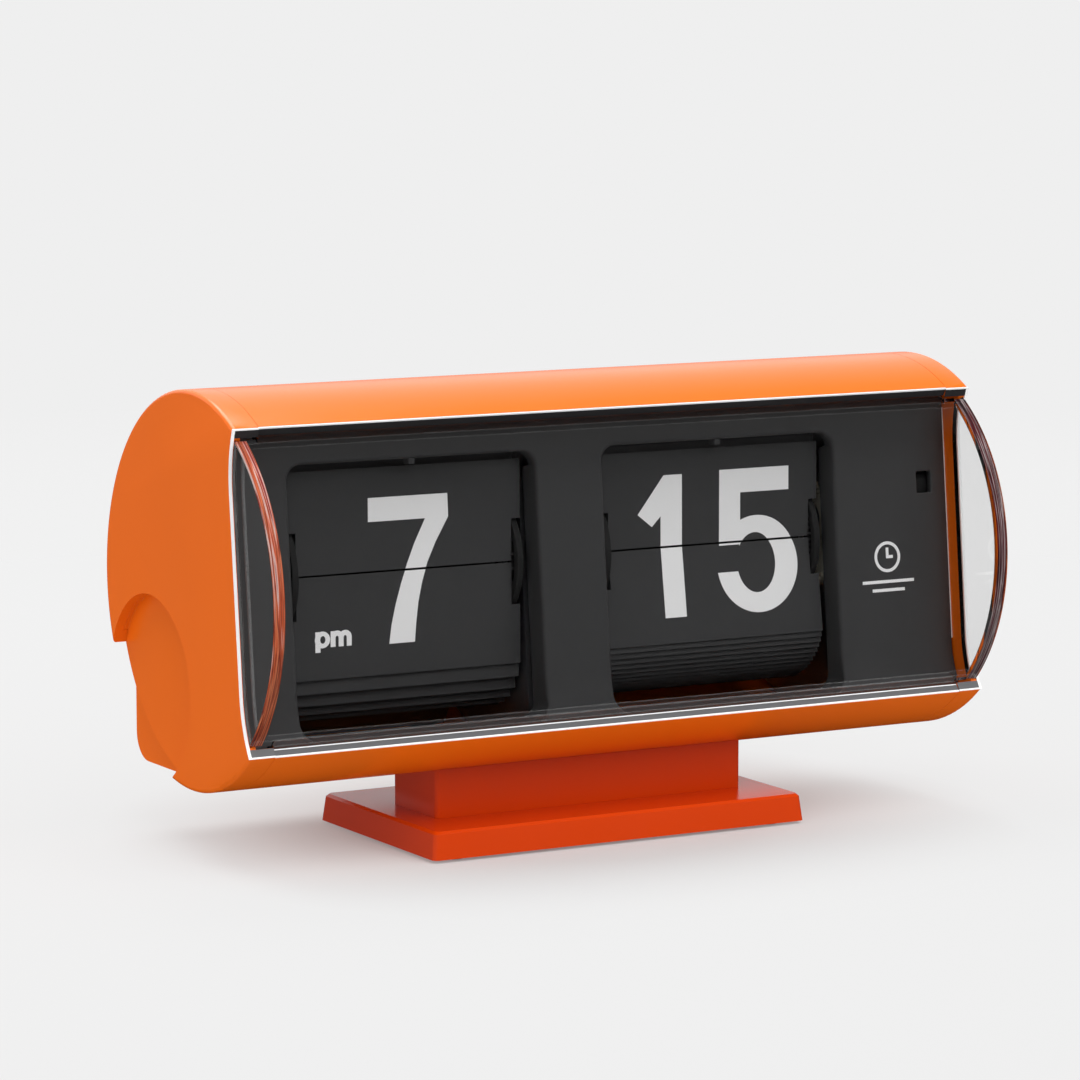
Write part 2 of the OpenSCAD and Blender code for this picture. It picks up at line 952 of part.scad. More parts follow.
// One leaf of the drum at x, with its pivot at angle a on the wheel, pointing in direction dir
module leaf(x, a, dir, tail, tabs = true) {
    side = leaf_side(tail, tabs);
    translate([x, axis_y + pivot_at(a)[0], axis_z + pivot_at(a)[1]])
        rotate([90 - dir, 0, 0])
            translate([0, leaf_t / 2, 0])
                rotate([90, 0, 0])
                    linear_extrude(leaf_t)
                        polygon(concat(side, [for (i = [len(side) - 1:-1:0]) [-side[i][0], side[i][1]]]));
}

// Leaves whose pivots lie between two angles
module leaves(x, count, first, tail, lean, from, to) {
    for (i = [1:count - 1])
        let (a = first + 360 * i / count)
            if (a > from && a < to)
                leaf(x, a, leaf_dir(a, first, lean), tail);
}

// Leading leaf, which flips over on two round pins
module flap(x, first, tail) {
    leaf(x, first, 90 + flap_stand, tail, false);
    for (x0 = [x - notch_half_w - tab_l, x + notch_half_w - pin_r])
        rod_x(pivot_at(first), pin_r, x0, x0 + tab_l + pin_r);
}

module hour_flap() {
    color("#333334")
        flap(hour_x, hour_first, hour_tail);
}

module hour_upper_leaves() {
    color("#333334")
        leaves(hour_x, hour_leaves, hour_first, hour_tail, hour_lean, 0, hang_angle);
}

module hour_lower_leaves() {
    color("#333334")
        leaves(hour_x, hour_leaves, hour_first, hour_tail, hour_lean, hang_angle, 400);
}

module minute_flap() {
    color("#333334")
        flap(minute_x, minute_first, minute_tail);
}

module minute_upper_leaves() {
    color("#333334")
        leaves(minute_x, minute_leaves, minute_first, minute_tail, minute_lean, 0, hang_angle);
}

module minute_lower_leaves() {
    color("#333334")
        leaves(minute_x, minute_leaves, minute_first, minute_tail, minute_lean, hang_angle, 400);
}

module hour_axle() {
    color("#b9bcc0")
        rod_x(wheel_at, axle_r, plate_left_x - 1, hour_gear_x + gear_t + 1);
}

module hour_core() {
    color("#2c2c2d")
        leaf_core(hour_x);
}

module hour_left_wheel() {
    color("#2c2c2d")
        leaf_wheel(hour_x, -1);
}

module hour_right_wheel() {
    color("#2c2c2d")
        leaf_wheel(hour_x, 1);
}

module minute_axle() {
    color("#b9bcc0")
        rod_x(wheel_at, axle_r, transfer_x - 1, plate_right_x + plate_t + 0.4);
}

module minute_core() {
    color("#2c2c2d")
        leaf_core(minute_x);
}

module minute_left_wheel() {
    color("#2c2c2d")
        leaf_wheel(minute_x, -1);
}

module minute_right_wheel() {
    color("#2c2c2d")
        leaf_wheel(minute_x, 1);
}

// ---- Movement, indicator and setting knob ----

module movement_case() {
    mid = [(movement_y0 + movement_y1) / 2, (movement_z0 + movement_z1) / 2];
    color("#2a2d30")
    difference() {
        along_x(movement_x0, movement_x1)
            translate(mid)
                round_rect(movement_y1 - movement_y0, movement_z1 - movement_z0, movement_corner_r);
        rod_x(drive_pinion_at, post_r + run, movement_x0 - 1, movement_x0 + shaft_bore);
        rod_x(indicator_at, indicator_shaft_r + run, movement_x1 - shaft_bore, movement_x1 + 1);
    }
}

// Small drum that shows through the little window while the clock runs
module indicator_wheel() {
    color("#d8d8d8") {
        rod_x(indicator_at, indicator_r, indicator_x0, bulkhead_back_x - 3 * fit_gap);
        rod_x(indicator_at, indicator_shaft_r, movement_x1 - shaft_bore + 1, indicator_x0 + eps);
    }
}

module set_shaft() {
    color("#b9bcc0")
        rod_x(set_gear_at, knob_shaft_r, drive_x - 0.4, knob_x0 + knob_bore);
}

// Knurled disc in the right-hand recess
module set_knob() {
    color("#c8551a")
    difference() {
        rod_x(set_gear_at, knob_r, knob_x0, knob_x1);
        rod_x(set_gear_at, knob_shaft_r, knob_x0 - 1, knob_x0 + knob_bore);
        for (i = [0:knob_grips - 1])
            rod_x(step(set_gear_at, 360 * i / knob_grips, knob_groove_at),
                knob_groove_r, knob_x0 - 1, knob_x1 + 1);
    }
}

// ---- Battery bay ----

// Half-round tray over the upper front of the cell, with a round end wall for each contact
module battery_tray() {
    inner = cell_r + tray_gap;
    color("#2a2d30") {
        along_x(tray_x0, tray_x1)
            translate([cell_y, cell_z])
                difference() {
                    ring2d(inner + tray_t, inner);
                    rotate(45)
                        translate([-big / 2, -big])
                            square([big, big]);
                }
        for (x = [tray_x0, tray_x1 - tray_end_t])
            along_x(x, x + tray_end_t)
                translate([cell_y, cell_z])
                    circle(inner + eps);
    }
}

// Corner cover that pulls straight off the back
module battery_door() {
    color("#e8641e")
    difference() {
        along_x(door_x0, door_x1)
            intersection() {
                difference() {
                    bay_corner(case_r, bay_corner_r);
                    bay_corner(case_r - wall, bay_corner_r - wall);
                }
                translate([door_y0, -2 * case_r])
                    square([2 * case_r, 2 * case_r + door_z1]);
            }
        for (i = [0:door_grips - 1])
            translate([door_mid_x, axis_y + case_r, axis_z + door_z1 - door_grip_top - door_grip_pitch * i])
                cube([door_grip_l, 1, door_grip_w], center = true);
    }
}

// Strip contact at one end of the cell, with a round boss that touches it
module contact(x_wall, facing) {
    color("#c9cdd1") {
        along_x(min(x_wall, x_wall + facing * contact_t), max(x_wall, x_wall + facing * contact_t))
            translate([cell_y, cell_z])
                rotate(45)
                    round_rect(contact_l, contact_w, 2);
        along_x(min(x_wall, x_wall + facing * contact_boss_h), max(x_wall, x_wall + facing * contact_boss_h))
            translate([cell_y, cell_z])
                circle(contact_boss_r);
    }
}

module negative_contact() {
    contact(tray_x0 + tray_end_t, 1);
}

module positive_contact() {
    contact(tray_x1 - tray_end_t, -1);
}

drum_case();
left_end_cap();
right_end_cap();
left_bulkhead();
right_bulkhead();
lens();
dial();
dial_mark();
hour_finger();
minute_finger();
pedestal();
base_plate();
base_feet();
base_screws();
case_screws();
left_plate();
hour_side_plate();
minute_side_plate();
drive_plate();
tie_rods();
hour_axle();
hour_core();
hour_left_wheel();
hour_right_wheel();
hour_gear();
hour_flap();
hour_lower_leaves();
hour_upper_leaves();
minute_axle();
minute_core();
minute_left_wheel();
minute_right_wheel();
minute_gear();
minute_pinion();
minute_flap();
minute_lower_leaves();
minute_upper_leaves();
transfer_arbor();
transfer_gear();
transfer_pinion();
drive_idler();
drive_pinion();
set_idler();
set_gear();
set_shaft();
set_knob();
movement_case();
indicator_wheel();
battery_tray();
battery_door();
negative_contact();
positive_contact();
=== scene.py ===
"""Looks of a flip number clock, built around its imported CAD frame.

Lengths are in millimetres until a mesh is made, and MM turns them into metres. Lamps, floor and
grain depths are in metres.
"""
import json
import math

import bmesh
import bpy
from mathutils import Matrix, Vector
from mathutils.geometry import delaunay_2d_cdt


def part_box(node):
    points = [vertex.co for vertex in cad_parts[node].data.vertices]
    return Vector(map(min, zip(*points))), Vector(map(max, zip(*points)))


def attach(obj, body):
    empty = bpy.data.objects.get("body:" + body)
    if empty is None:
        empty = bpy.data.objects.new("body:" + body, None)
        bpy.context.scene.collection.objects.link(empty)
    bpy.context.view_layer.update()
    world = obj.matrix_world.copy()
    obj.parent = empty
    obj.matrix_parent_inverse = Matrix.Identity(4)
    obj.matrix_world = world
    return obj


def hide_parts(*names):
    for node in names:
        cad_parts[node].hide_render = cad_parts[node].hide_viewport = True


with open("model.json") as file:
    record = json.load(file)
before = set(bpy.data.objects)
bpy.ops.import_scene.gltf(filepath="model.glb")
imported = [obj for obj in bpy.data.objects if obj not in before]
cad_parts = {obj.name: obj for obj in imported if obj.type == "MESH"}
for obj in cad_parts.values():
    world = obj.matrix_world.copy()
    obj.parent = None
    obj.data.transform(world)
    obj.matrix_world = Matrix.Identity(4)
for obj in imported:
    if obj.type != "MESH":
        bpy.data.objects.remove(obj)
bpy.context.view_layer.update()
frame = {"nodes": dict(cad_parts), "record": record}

MM = 0.001


# ---- Sizes taken from the frame ----

def box_mm(node):
    """Low and high corner of a node's box, in millimetres."""
    low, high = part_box(node)
    return low / MM, high / MM


case_low, case_high = box_mm("drum_case")
CASE_R = (case_high.z - case_low.z) / 2
AXIS_Y = case_high.y - CASE_R
AXIS_Z = (case_high.z + case_low.z) / 2
END_X = box_mm("right_end_cap")[1].x

# ---- Camera, lamps and stage ----

CAMERA_AT = (-571.6, -1001.5, 225.0)
CAMERA_YAW = 29.428
CAMERA_DOWN = 7.4756
CAMERA_LENS = 151.29
SENSOR = 36.0

PAPER = 0.863          # brightness of the background as seen
AMBIENT = 0.60         # brightness of the room for matt surfaces
ROOM_BACK = 0.22       # brightness of the room behind the clock for glossy surfaces
SKY = 0.75             # brightness of the lit panel high behind it, for glossy surfaces
FLOOR_PAINT = 0.52     # the floor's colour as seen
FLOOR_BOUNCE = 0.50    # the floor's colour as it lights the clock
FLOOR_R = 1.2
FLOOR_LIFT = 0.22, 0.85, 0.05, 0.12      # share of paper glow, from near the clock to far, and these distances
FLOOR_FADE = 0.35, 0.9                   # shares of the floor's radius between which it fades out
SUNS = {"overhead_sun": ((0.10, -0.30, -1.0), 0.4, 50), "front_sun": ((-0.1, 0.75, -0.85), 2.6, 60),
               "left_sun": ((1.0, 0.35, -0.4), 0.85, 60)}      # direction, strength, spread in degrees


def make_camera():
    """The camera that took the photograph, as fitted to it."""
    data = bpy.data.cameras.new("camera")
    data.sensor_width = SENSOR
    data.lens = CAMERA_LENS
    data.clip_start = 0.1
    data.clip_end = 20
    camera = bpy.data.objects.new("camera", data)
    camera.location = Vector(CAMERA_AT) * MM
    yaw, down = math.radians(CAMERA_YAW), math.radians(CAMERA_DOWN)
    forward = Vector((math.sin(yaw) * math.cos(down), math.cos(yaw) * math.cos(down), -math.sin(down)))
    camera.rotation_euler = forward.to_track_quat("-Z", "Y").to_euler()
    bpy.context.scene.collection.objects.link(camera)
    bpy.context.scene.camera = camera


def make_sun(name, towards, strength, angle):
    """Broad soft light from one side that no glossy surface mirrors."""
    data = bpy.data.lights.new(name, "SUN")
    data.energy = strength
    data.angle = math.radians(angle)
    sun = bpy.data.objects.new(name, data)
    sun.rotation_euler = Vector(towards).to_track_quat("-Z", "Y").to_euler()
    sun.visible_glossy = False
    sun.visible_transmission = False
    bpy.context.scene.collection.objects.link(sun)


def make_light(name, at, target, size, size_y, watts):
    """Rectangular lamp that glossy surfaces do mirror."""
    data = bpy.data.lights.new(name, "AREA")
    data.shape = "RECTANGLE"
    data.size = size
    data.size_y = size_y
    data.energy = watts
    light = bpy.data.objects.new(name, data)
    light.location = at
    light.rotation_euler = (Vector(target) - Vector(at)).to_track_quat("-Z", "Y").to_euler()
    light.visible_transmission = False
    bpy.context.scene.collection.objects.link(light)


def mixed(tree, factor, first, second):
    """Shader that goes from the first to the second as the factor goes from 0 to 1."""
    mix = tree.nodes.new("ShaderNodeMixShader")
    for socket, value in zip(mix.inputs, (factor, first, second)):
        tree.links.new(value, socket)
    return mix.outputs["Shader"]


def make_world():
    """Paper white to the eye, an even light for matt surfaces, and a dark room in front for glossy ones.

    Light that has only passed through the clear cover has no glossy or diffuse bounce, so it sees the paper.
    """
    world = bpy.data.worlds.new("studio")
    world.use_nodes = True
    tree = world.node_tree
    paper = tree.nodes["Background"]
    paper.inputs["Color"].default_value = (1, 1, 1, 1)
    paper.inputs["Strength"].default_value = PAPER
    ambient = tree.nodes.new("ShaderNodeBackground")
    ambient.inputs["Strength"].default_value = AMBIENT
    gloss = tree.nodes.new("ShaderNodeBackground")
    gloss.inputs["Strength"].default_value = 1.0
    place = tree.nodes.new("ShaderNodeTexCoord")
    parts = tree.nodes.new("ShaderNodeSeparateXYZ")
    tree.links.new(place.outputs["Generated"], parts.inputs["Vector"])
    room = product_of(tree, range_of(tree, parts.outputs["Y"], 0, ROOM_BACK, -0.25, 0.35),
                      range_of(tree, parts.outputs["Z"], 0, 1, -0.3, 0.1))
    panel = product_of(tree, range_of(tree, parts.outputs["Y"], 0, SKY, 0.3, 0.8),
                       range_of(tree, parts.outputs["Z"], 0, 1, 0.0, 0.25), room)
    tree.links.new(panel, gloss.inputs["Color"])
    path = tree.nodes.new("ShaderNodeLightPath")
    seen = mixed(tree, path.outputs["Glossy Depth"], paper.outputs["Background"], gloss.outputs["Background"])
    tree.links.new(mixed(tree, path.outputs["Diffuse Depth"], seen, ambient.outputs["Background"]),
                   tree.nodes["World Output"].inputs["Surface"])
    bpy.context.scene.world = world
    bpy.context.scene.view_settings.view_transform = "Standard"


def make_floor():
    """Round sheet of paper that fades into the background and glows, less near the clock than further out, which
    lightens the shadows on it.
    """
    shape = bmesh.new()
    bmesh.ops.create_circle(shape, cap_ends=True, radius=FLOOR_R, segments=96)
    mesh = mesh_of("floor", shape)
    floor = bpy.data.objects.new("floor", mesh)
    floor.visible_glossy = False
    floor.visible_transmission = False
    bpy.context.scene.collection.objects.link(floor)
    material, tree, shader = new_material("floor_paint")
    shader.inputs["Roughness"].default_value = 1.0
    shader.inputs["Specular IOR Level"].default_value = 0.0
    path = tree.nodes.new("ShaderNodeLightPath")
    tree.links.new(range_of(tree, path.outputs["Is Diffuse Ray"], FLOOR_PAINT, FLOOR_BOUNCE),
                   shader.inputs["Base Color"])
    spot = tree.nodes.new("ShaderNodeTexCoord")
    reach = tree.nodes.new("ShaderNodeVectorMath")
    reach.operation = "LENGTH"
    tree.links.new(spot.outputs["Object"], reach.inputs[0])
    glow = tree.nodes.new("ShaderNodeEmission")
    tree.links.new(range_of(tree, path.outputs["Is Diffuse Ray"], PAPER, PAPER * FLOOR_BOUNCE / FLOOR_PAINT),
                   glow.inputs["Strength"])
    lift = range_of(tree, reach.outputs["Value"], *FLOOR_LIFT)
    paper = mixed(tree, lift, shader.outputs["BSDF"], glow.outputs["Emission"])
    fade = range_of(tree, reach.outputs["Value"], 0, 1, *(FLOOR_R * share for share in FLOOR_FADE))
    gone = tree.nodes.new("ShaderNodeBsdfTransparent")
    tree.links.new(mixed(tree, fade, paper, gone.outputs["BSDF"]), tree.nodes["Material Output"].inputs["Surface"])
    mesh.materials.append(material)


def make_stage():
    make_world()
    make_floor()
    for name, (towards, strength, angle) in SUNS.items():
        make_sun(name, towards, strength, angle)
    make_light("overhead", (-0.15, 0.55, 1.3), (0, 0, 0.07), size=1.3, size_y=0.7, watts=13)


# ---- Materials ----

def mesh_of(name, shape):
    """Mesh from a bmesh, which is freed."""
    mesh = bpy.data.meshes.new(name)
    shape.to_mesh(mesh)
    shape.free()
    return mesh


def new_material(name):
    material = bpy.data.materials.new(name)
    material.use_nodes = True
    tree = material.node_tree
    return material, tree, tree.nodes["Principled BSDF"]


def noise_of(tree, scale, detail=2.0, stretch=(1, 1, 1)):
    """Factor of a noise pattern in the piece's own coordinates, scale in waves per metre."""
    coordinates = tree.nodes.new("ShaderNodeTexCoord")
    mapping = tree.nodes.new("ShaderNodeMapping")
    mapping.inputs["Scale"].default_value = stretch
    noise = tree.nodes.new("ShaderNodeTexNoise")
    noise.inputs["Scale"].default_value = scale
    noise.inputs["Detail"].default_value = detail
    tree.links.new(coordinates.outputs["Object"], mapping.inputs["Vector"])
    tree.links.new(mapping.outputs["Vector"], noise.inputs["Vector"])
    return noise.outputs["Fac"]


def ramp_of(tree, factor, low, high, colours):
    """Colours spread evenly over a factor from low to high."""
    ramp = tree.nodes.new("ShaderNodeValToRGB")
    elements = ramp.color_ramp.elements
    places = [low + (high - low) * i / (len(colours) - 1) for i in range(len(colours))]
    elements[0].position, elements[1].position = places[0], places[-1]
    for at in places[1:-1]:
        elements.new(at)
    for element, colour in zip(elements, colours):
        element.color = (*colour, 1)
    tree.links.new(factor, ramp.inputs["Fac"])
    return ramp.outputs["Color"]


def range_of(tree, factor, low, high, from_low=0.0, from_high=1.0):
    """Factor carried from one range to another and held at its ends."""
    spread = tree.nodes.new("ShaderNodeMapRange")
    spread.inputs["From Min"].default_value = from_low
    spread.inputs["From Max"].default_value = from_high
    spread.inputs["To Min"].default_value = low
    spread.inputs["To Max"].default_value = high
    tree.links.new(factor, spread.inputs["Value"])
    return spread.outputs["Result"]


def product_of(tree, a, b, plus=None):
    """a times b, plus a third value where one is given."""
    maths = tree.nodes.new("ShaderNodeMath")
    maths.operation = "MULTIPLY_ADD" if plus else "MULTIPLY"
    for socket, value in zip(maths.inputs, (a, b, plus) if plus else (a, b)):
        tree.links.new(value, socket)
    return maths.outputs["Value"]


def plastic(name, colour, roughness, grain=900, grain_depth=0.00002, metal=0.0, vary=0.05):
    """Moulded surface: cloudy colour, uneven gloss and a fine moulded grain."""
    material, tree, shader = new_material(name)
    darker = tuple(c * (1 - vary) for c in colour)
    lighter = tuple(min(1, c * (1 + vary)) for c in colour)
    cloud = noise_of(tree, 22, 3)
    tree.links.new(ramp_of(tree, cloud, 0.3, 0.7, (darker, lighter)), shader.inputs["Base Color"])
    tree.links.new(range_of(tree, noise_of(tree, 60, 4), roughness * 0.85, roughness * 1.15),
                   shader.inputs["Roughness"])
    bump = tree.nodes.new("ShaderNodeBump")
    bump.inputs["Strength"].default_value = 0.35
    bump.inputs["Distance"].default_value = grain_depth
    tree.links.new(noise_of(tree, grain), bump.inputs["Height"])
    tree.links.new(bump.outputs["Normal"], shader.inputs["Normal"])
    shader.inputs["Metallic"].default_value = metal
    return material


def clear_acrylic(name, haze=0.01):
    """Clear acrylic that lets the lamps through to what is behind it."""
    material, tree, shader = new_material(name)
    shader.inputs["Base Color"].default_value = (1, 1, 1, 1)
    shader.inputs["Transmission Weight"].default_value = 1
    shader.inputs["Specular IOR Level"].default_value = 0.3
    shader.inputs["IOR"].default_value = 1.45
    tree.links.new(range_of(tree, noise_of(tree, 9, 2), 0.0, haze), shader.inputs["Roughness"])
    lamps = tree.nodes.new("ShaderNodeBsdfTransparent")
    lamps.inputs["Color"].default_value = (0.99, 0.99, 0.99, 1)
    path = tree.nodes.new("ShaderNodeLightPath")
    tree.links.new(mixed(tree, path.outputs["Is Shadow Ray"], shader.outputs["BSDF"], lamps.outputs["BSDF"]),
                   tree.nodes["Material Output"].inputs["Surface"])
    return material


SMOOTH = {"grain": 3000, "grain_depth": 0.000002, "vary": 0.02}
SATIN = {"grain": 3500, "grain_depth": 0.000001, "vary": 0.03}
EDGE = {"grain": 2000, "grain_depth": 0.000002}
MATERIALS = {
    "case_plastic": plastic("orange_plastic", (0.80, 0.138, 0.005), 0.22, **SMOOTH),
    "lens_clear": clear_acrylic("clear_acrylic"),
    "dial_plastic": plastic("dial_plastic", (0.047, 0.047, 0.048), 0.45, **SATIN),
    "print_light": plastic("light_print", (0.90, 0.90, 0.90), 0.6, grain=3000, grain_depth=0.000001, vary=0.03),
    "foot_rubber": plastic("foot_rubber", (0.02, 0.02, 0.021), 0.8, grain=1500),
    "screw_steel": plastic("screw_steel", (0.55, 0.56, 0.58), 0.3, metal=1.0),
    "plate_metal": plastic("plate_metal", (0.5, 0.52, 0.54), 0.4, metal=1.0),
    "drum_plastic": plastic("drum_plastic", (0.02, 0.02, 0.02), 0.5),
    "leaf_film": plastic("leaf_film", (0.046, 0.046, 0.047), 0.5, **SATIN),
    "gear_plastic": plastic("gear_plastic", (0.78, 0.74, 0.62), 0.45),
    "gear_brass": plastic("gear_brass", (0.75, 0.52, 0.18), 0.3, metal=1.0),
    "movement_plastic": plastic("movement_plastic", (0.02, 0.022, 0.025), 0.5),
    "indicator_print": plastic("indicator_print", (0.02, 0.02, 0.02), 0.5),
    "knob_plastic": plastic("knob_plastic", (0.74, 0.095, 0.006), 0.27, grain=3000, grain_depth=0.000003),
    "contact_steel": plastic("contact_steel", (0.65, 0.66, 0.67), 0.28, metal=1.0),
}
# A darker, redder copy of the orange plastic: painted shade for the pedestal and base plate, which sit in the drum's
# shadow.
SHADED_BASE_PLASTIC = plastic("orange_plastic_painted_shade", (0.54, 0.040, 0.001), 0.22, **SMOOTH)
# White bands of painted highlight, where the clear cover's edges and the dial's edge catch the light, and grey bands
# of painted shade, where the cover's lower flange shows the dark inside.
EDGE_HIGHLIGHT_PAINT = plastic("acrylic_edge_painted_highlight", (0.92, 0.92, 0.92), 0.35, **EDGE)
EDGE_SHADE_PAINT = plastic("acrylic_edge_painted_shade", (0.13, 0.13, 0.135), 0.3, **EDGE)
GASKET = plastic("gasket_foam", (0.022, 0.020, 0.021), 0.6, grain=2500)


def painted_seam_reflections(name, colours):
    """Painted reflections: streaks and white glints that the welded corner of the cover picks up along its arc."""
    material, tree, shader = new_material(name)
    streaks = noise_of(tree, 1100, 4, (1, 0.02, 0.02))
    tree.links.new(ramp_of(tree, streaks, 0.36, 0.62, colours), shader.inputs["Base Color"])
    tree.links.new(range_of(tree, streaks, 0.2, 0.45), shader.inputs["Roughness"])
    return material


# Painted reflections: warm streaks of the orange cap's light in the left end wall, and dark red with white glints in
# the right one.
WARM_SEAM_REFLECTIONS = painted_seam_reflections("warm_cover_seam_painted_reflections", [(0.10, 0.02, 0.02), (0.62, 0.10, 0.03), (0.80, 0.26, 0.12),
                                             (0.22, 0.03, 0.02), (0.70, 0.14, 0.05), (0.8, 0.66, 0.62),
                                             (0.35, 0.04, 0.03)])
DARK_SEAM_REFLECTIONS = painted_seam_reflections("dark_cover_seam_painted_reflections", [(0.012, 0.006, 0.008), (0.16, 0.012, 0.02), (0.03, 0.008, 0.01),
                                             (0.6, 0.5, 0.5), (0.02, 0.006, 0.008), (0.12, 0.01, 0.018),
                                             (0.015, 0.006, 0.008)])

SLOT_OF = {part["node"]: part["material_slot"] for part in frame["record"]["subparts"]}
BODY_OF = {node: body for body, nodes in frame["record"]["behaviour"]["bodies"].items() for node in nodes}

for node, shown in frame["nodes"].items():
    shown.data.materials.clear()
    shown.data.materials.append(MATERIALS[SLOT_OF[node]])


make_camera()
make_stage()


# ---- Mesh helpers ----

def place(name, mesh, body, material, slot=None, stands_for=()):
    """Puts a mesh in the scene as a piece of the clock that rides on a body."""
    mesh.materials.clear()
    mesh.materials.append(material)
    piece = bpy.data.objects.new(name, mesh)
    bpy.context.scene.collection.objects.link(piece)
    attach(piece, body)
    if stands_for:
        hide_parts(*stands_for)
    return piece


def smooth(mesh, angle=32):
    """Smooth shading but for edges sharper than an angle in degrees."""
    mesh.polygons.foreach_set("use_smooth", [True] * len(mesh.polygons))
    mesh.set_sharp_from_angle(angle=math.radians(angle))


def round_edges(piece, width, angle):
    """Rounds a piece's edges sharper than an angle in degrees."""
    bevel = piece.modifiers.new("soft_edges", "BEVEL")
    bevel.width = width * MM
    bevel.segments = 3
    bevel.limit_method = "ANGLE"
    bevel.angle_limit = math.radians(angle)
    bevel.harden_normals = True
    return bevel


MOULDED_ANGLE, FLAT_WITHIN = 30, 0.4      # degrees


def refine(node, width):
    """Takes a CAD node's shape, joins its faces into whole ones and rounds its edges as a mould does."""
    shape = bmesh.new()
    shape.from_mesh(frame["nodes"][node].data)
    bmesh.ops.remove_doubles(shape, verts=shape.verts, dist=1e-6)
    bmesh.ops.dissolve_limit(shape, angle_limit=math.radians(FLAT_WITHIN), verts=shape.verts, edges=shape.edges)
    mesh = mesh_of(node + "_moulded", shape)
    smooth(mesh, MOULDED_ANGLE)
    slot = SLOT_OF[node]
    piece = place(node + "_moulded", mesh, BODY_OF[node], MATERIALS[slot], slot, (node,))
    round_edges(piece, width, MOULDED_ANGLE).miter_outer = "MITER_ARC"
    return piece


# How far each moulded node's edges are rounded.
MOULDED = {
    "drum_case": 0.35, "left_end_cap": 0.45, "right_end_cap": 0.45, "left_bulkhead": 0.3, "right_bulkhead": 0.3,
    "pedestal": 0.5, "base_plate": 0.4, "base_feet": 0.3, "battery_door": 0.25, "set_knob": 0.25,
    "base_screws": 0.15, "case_screws": 0.2, "battery_tray": 0.15,
    "hour_left_wheel": 0.2, "hour_right_wheel": 0.2, "minute_left_wheel": 0.2, "minute_right_wheel": 0.2,
}
for node, width in MOULDED.items():
    moulded = refine(node, width)
    # The pedestal and base plate take the darker copy of the orange: painted shade under the drum.
    if node in ("pedestal", "base_plate"):
        moulded.data.materials[0] = SHADED_BASE_PLASTIC


# ---- Places on the dial and on the leaves ----

FACE_TILT = math.radians(5.6)


def on_dial(u, v, depth):
    """Point on the tilted display: u along X, v up the dial, depth in front of the drum's axis."""
    return Vector((u, AXIS_Y - depth * math.cos(FACE_TILT) + v * math.sin(FACE_TILT),
                   AXIS_Z + depth * math.sin(FACE_TILT) + v * math.cos(FACE_TILT))) * MM


def arc(centre, radii, start, end, steps):
    """Points of an elliptic arc, angles in degrees from +X."""
    turn = [math.radians(start + (end - start) * i / steps) for i in range(steps + 1)]
    return [(centre[0] + radii[0] * math.cos(a), centre[1] + radii[1] * math.sin(a)) for a in turn]


def inside(point, outline):
    """Even-odd test of a point against a closed outline."""
    x, y = point
    found = False
    for (x0, y0), (x1, y1) in zip(outline, outline[1:] + outline[:1]):
        if (y0 > y) != (y1 > y) and x < x0 + (y - y0) * (x1 - x0) / (y1 - y0):
            found = not found
    return found


def fill(outlines, wanted, lines=()):
    """Triangles between outlines and loose lines, kept where wanted(centroid) is true."""
    points, edges = [], []
    for outline in outlines:
        first = len(points)
        points += outline
        edges += [(first + i, first + (i + 1) % len(outline)) for i in range(len(outline))]
    for highlight_line in lines:
        first = len(points)
        points += highlight_line
        edges += [(first + i, first + i + 1) for i in range(len(highlight_line) - 1)]
    found, _, faces, _, _, _ = delaunay_2d_cdt([Vector(p) for p in points], edges, [], 0, 1e-5)
    kept = []
    for face in faces:
        middle = sum((found[i] for i in face), Vector((0, 0))) / len(face)
        if wanted(middle):
            kept.append(face)
    return found, kept


# ---- Numerals ----

PRINT_T = 0.04
LEAF_HALF_T = 0.1
LEAF_REACH = 32.0
# Each drum's middle, the pivots (depth and height off the axis) and directions of its leading leaf, the next one
# and the top one of the lower stack, how far a leaf starts past its pivot, and the leading leaf's body.
HOUR = {"x": -53.7, "up": (-12.628, 5.240), "up_dir": 90.5, "next": (-11.589, 8.744), "next_dir": 98.75,
        "low": (-12.723, 1.587), "low_dir": 270.26, "tail": 1.6, "flap": "hour_leaf"}
MINUTE = {"x": 34.6, "up": (-12.680, 4.877), "up_dir": 90.5, "next": (-12.413, 6.318), "next_dir": 93.8,
          "low": (-12.795, 3.416), "low_dir": 278.4, "tail": 0.5, "flap": "minute_leaf"}


def on_leaf(x, along, pivot, direction, height):
    """Point on a leaf: along it from its pivot, and height off its middle plane towards its own front."""
    a = math.radians(direction)
    y = pivot[0] - along * math.cos(a) - height * math.sin(a)
    z = pivot[1] + along * math.sin(a) - height * math.cos(a)
    return Vector((x, AXIS_Y + y, AXIS_Z + z)) * MM


def thicken(name, found, faces, at, low, high, body, material, slot):
    """Closed slab between two heights over a flat pattern; at(point, height) places it."""
    used = sorted({i for face in faces for i in face})
    shape = bmesh.new()
    under = {i: shape.verts.new(at(found[i], low)) for i in used}
    over = {i: shape.verts.new(at(found[i], high)) for i in used}
    sides = {}
    for face in faces:
        shape.faces.new([over[i] for i in face])
        shape.faces.new([under[i] for i in reversed(face)])
        for a, b in zip(face, face[1:] + face[:1]):
            sides[(a, b)] = sides.get((a, b), 0) + 1
    for a, b in sides:
        if (b, a) not in sides:
            shape.faces.new([under[a], under[b], over[b], over[a]])
    bmesh.ops.recalc_face_normals(shape, faces=shape.faces)
    return place(name, mesh_of(name, shape), body, material, slot)


